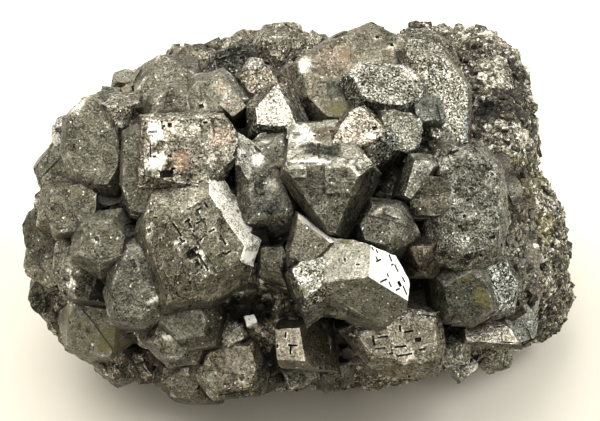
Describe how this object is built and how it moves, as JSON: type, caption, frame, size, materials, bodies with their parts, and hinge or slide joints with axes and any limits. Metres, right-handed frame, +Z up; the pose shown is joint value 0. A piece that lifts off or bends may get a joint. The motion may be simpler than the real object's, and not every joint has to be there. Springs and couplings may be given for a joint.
{
  "type": "galena specimen",
  "caption": "Cabinet-size mineral specimen: a cluster of intergrown lead-grey cubic crystals on rough granular matrix, with a flat base to rest on.",
  "frame": {"origin": "middle of the bounding box on the plane the specimen rests on", "axes": "+Z up, +X to the right along the length when seen from the show side, -Y towards the viewer of the show side"},
  "size_m": [0.1212, 0.0956, 0.0736],
  "materials": {
    "galena": "lead-grey metallic lustre, sparkling, etched and pitted faces",
    "matrix": "rough granular brown-grey rock with small glints"
  },
  "bodies": {
    "root": {"galena_crystals": "galena", "granular_matrix": "matrix"}
  },
  "joints": []
}
